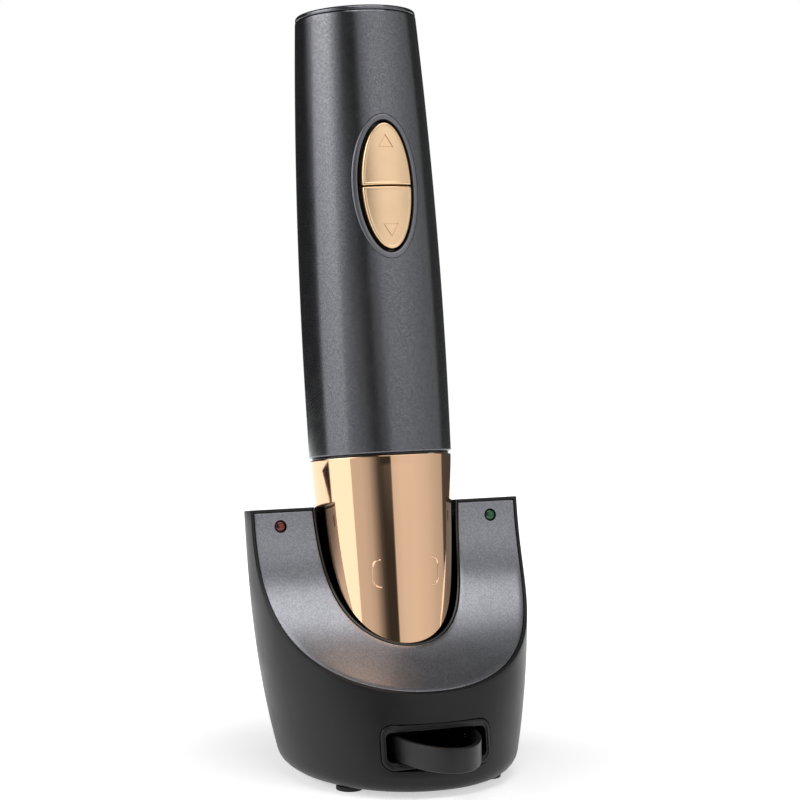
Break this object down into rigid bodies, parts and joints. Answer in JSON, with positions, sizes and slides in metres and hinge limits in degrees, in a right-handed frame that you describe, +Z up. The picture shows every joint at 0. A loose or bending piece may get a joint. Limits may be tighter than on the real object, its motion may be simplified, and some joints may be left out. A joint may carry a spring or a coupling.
{
  "type": "electric wine opener",
  "caption": "Cordless electric corkscrew with press buttons, standing tilted back in an oval charging base that also holds a pull-out foil cutter.",
  "frame": {"origin": "centre of the whole object's footprint box, on the table under the feet", "axes": "+Z up, -Y towards the front with the foil cutter, +X to the right as seen from the front; the opener leans back towards +Y"},
  "size_m": [0.102, 0.1326, 0.2742],
  "materials": {
    "black_plastic": "fine-textured moulded black",
    "grey_trim": "metallic grey paint on plastic, satin",
    "graphite": "metallic graphite paint on plastic, satin",
    "rose_gold": "polished rose-gold plating",
    "satin_rose_gold": "satin rose-gold plating on plastic",
    "rubber": "matt",
    "steel": "bright steel",
    "brass": "turned",
    "board": "green circuit board",
    "cell": null,
    "inner_plastic": "natural moulding",
    "red_lens": "clear red",
    "green_lens": "clear green"
  },
  "bodies": {
    "base": {"base_shell": "black_plastic", "base_trim": "grey_trim", "well_cup": "black_plastic", "base_plate": "black_plastic", "base_foot_1": "rubber", "base_foot_2": "rubber", "base_foot_3": "rubber", "base_foot_4": "rubber", "base_screw_left": "steel", "base_screw_right": "steel", "charge_board": "board", "dc_inlet": "black_plastic", "led_red": "red_lens", "led_green": "green_lens", "cutter_bay": "black_plastic"},
    "opener": {"handle_shell": "graphite", "top_cap": "graphite", "seam_ring": "black_plastic", "lower_sleeve": "rose_gold", "neck_guide": "inner_plastic", "button_bezel": "black_plastic", "control_board": "board", "tact_switch_upper": "black_plastic", "tact_switch_lower": "black_plastic", "battery_holder": "inner_plastic", "battery_cell_1": "cell", "battery_cell_2": "cell", "battery_cell_3": "cell", "battery_cell_4": "cell", "motor_can": "steel", "motor_endbell": "black_plastic", "gear_case": "inner_plastic", "output_bush": "brass", "charge_contact_left": "steel", "charge_contact_right": "steel"},
    "foil_cutter": {"cutter_frame": "black_plastic", "cutter_axle_1": "steel", "cutter_axle_2": "steel", "cutter_axle_3": "steel", "cutter_axle_4": "steel"},
    "cutter_disc_1": {"cutter_wheel_1": "steel"},
    "cutter_disc_2": {"cutter_wheel_2": "steel"},
    "cutter_disc_3": {"cutter_wheel_3": "steel"},
    "cutter_disc_4": {"cutter_wheel_4": "steel"},
    "release_key": {"release_button": "satin_rose_gold"},
    "extract_key": {"extract_button": "satin_rose_gold"},
    "left_pin": {"charge_pin_left": "brass"},
    "right_pin": {"charge_pin_right": "brass"},
    "worm": {"output_spindle": "steel", "corkscrew": "steel"},
    "first_carrier": {"stage1_carrier": "steel"},
    "rotor": {"motor_rotor": "steel", "motor_pinion": "brass"},
    "stage1_gear_1": {"stage1_planet_1": "inner_plastic"},
    "stage1_gear_2": {"stage1_planet_2": "inner_plastic"},
    "stage1_gear_3": {"stage1_planet_3": "inner_plastic"},
    "stage2_gear_1": {"stage2_planet_1": "inner_plastic"},
    "stage2_gear_2": {"stage2_planet_2": "inner_plastic"},
    "stage2_gear_3": {"stage2_planet_3": "inner_plastic"}
  },
  "joints": [
    {"name": "opener_lift", "type": "slide", "parent": "base", "child": "opener", "axis": [0, 0.1736, 0.9848], "range_m": [0, 0.11]},
    {"name": "foil_cutter_pull", "type": "slide", "parent": "base", "child": "foil_cutter", "axis": [0, -1, 0], "range_m": [0, 0.04]},
    {"name": "cutter_disc_1_spin", "type": "hinge", "parent": "foil_cutter", "child": "cutter_disc_1", "pos_m": [-0.0154, -0.0308, 0.0176], "axis": [0, 0, 1], "continuous": true},
    {"name": "cutter_disc_2_spin", "type": "hinge", "parent": "foil_cutter", "child": "cutter_disc_2", "pos_m": [-0.0154, -0.0128, 0.0176], "axis": [0, 0, 1], "continuous": true},
    {"name": "cutter_disc_3_spin", "type": "hinge", "parent": "foil_cutter", "child": "cutter_disc_3", "pos_m": [0.0154, -0.0308, 0.0176], "axis": [0, 0, 1], "continuous": true},
    {"name": "cutter_disc_4_spin", "type": "hinge", "parent": "foil_cutter", "child": "cutter_disc_4", "pos_m": [0.0154, -0.0128, 0.0176], "axis": [0, 0, 1], "continuous": true},
    {"name": "release_press", "type": "slide", "parent": "opener", "child": "release_key", "axis": [0, 0.9848, -0.1736], "range_m": [0, 0.0008], "stiffness_N_per_m": 500, "springref_m": -0.0008},
    {"name": "extract_press", "type": "slide", "parent": "opener", "child": "extract_key", "axis": [0, 0.9848, -0.1736], "range_m": [0, 0.0008], "stiffness_N_per_m": 500, "springref_m": -0.0008},
    {"name": "left_pin_press", "type": "slide", "parent": "base", "child": "left_pin", "axis": [0, 0.1736, 0.9848], "range_m": [-0.0008, 0], "stiffness_N_per_m": 300, "springref_m": 0.001},
    {"name": "right_pin_press", "type": "slide", "parent": "base", "child": "right_pin", "axis": [0, 0.1736, 0.9848], "range_m": [-0.0008, 0], "stiffness_N_per_m": 300, "springref_m": 0.001},
    {"name": "corkscrew_spin", "type": "hinge", "parent": "opener", "child": "worm", "pos_m": [0, 0.01717, 0.11405], "axis": [0, 0.1736, 0.9848], "continuous": true},
    {"name": "first_carrier_spin", "type": "hinge", "parent": "opener", "child": "first_carrier", "pos_m": [0, 0.02013, 0.13079], "axis": [0, 0.1736, 0.9848], "continuous": true},
    {"name": "rotor_spin", "type": "hinge", "parent": "opener", "child": "rotor", "pos_m": [0, 0.02412, 0.15344], "axis": [0, 0.1736, 0.9848], "continuous": true},
    {"name": "stage1_planet_1_spin", "type": "hinge", "parent": "first_carrier", "child": "stage1_gear_1", "pos_m": [0.0084, 0.02084, 0.13483], "axis": [0, 0.1736, 0.9848], "continuous": true},
    {"name": "stage1_planet_2_spin", "type": "hinge", "parent": "first_carrier", "child": "stage1_gear_2", "pos_m": [-0.0042, 0.028, 0.13356], "axis": [0, 0.1736, 0.9848], "continuous": true},
    {"name": "stage1_planet_3_spin", "type": "hinge", "parent": "first_carrier", "child": "stage1_gear_3", "pos_m": [-0.0042, 0.01367, 0.13609], "axis": [0, 0.1736, 0.9848], "continuous": true},
    {"name": "stage2_planet_1_spin", "type": "hinge", "parent": "worm", "child": "stage2_gear_1", "pos_m": [0.0084, 0.01933, 0.12626], "axis": [0, 0.1736, 0.9848], "continuous": true},
    {"name": "stage2_planet_2_spin", "type": "hinge", "parent": "worm", "child": "stage2_gear_2", "pos_m": [-0.0042, 0.02649, 0.12499], "axis": [0, 0.1736, 0.9848], "continuous": true},
    {"name": "stage2_planet_3_spin", "type": "hinge", "parent": "worm", "child": "stage2_gear_3", "pos_m": [-0.0042, 0.01216, 0.12752], "axis": [0, 0.1736, 0.9848], "continuous": true}
  ],
  "couplings": [
    {"joint": "corkscrew_spin", "follows": "rotor_spin", "ratio": 0.035156},
    {"joint": "first_carrier_spin", "follows": "rotor_spin", "ratio": 0.1875},
    {"joint": "stage1_planet_1_spin", "follows": "rotor_spin", "ratio": -0.4875},
    {"joint": "stage1_planet_2_spin", "follows": "rotor_spin", "ratio": -0.4875},
    {"joint": "stage1_planet_3_spin", "follows": "rotor_spin", "ratio": -0.4875},
    {"joint": "stage2_planet_1_spin", "follows": "rotor_spin", "ratio": -0.091406},
    {"joint": "stage2_planet_2_spin", "follows": "rotor_spin", "ratio": -0.091406},
    {"joint": "stage2_planet_3_spin", "follows": "rotor_spin", "ratio": -0.091406}
  ]
}
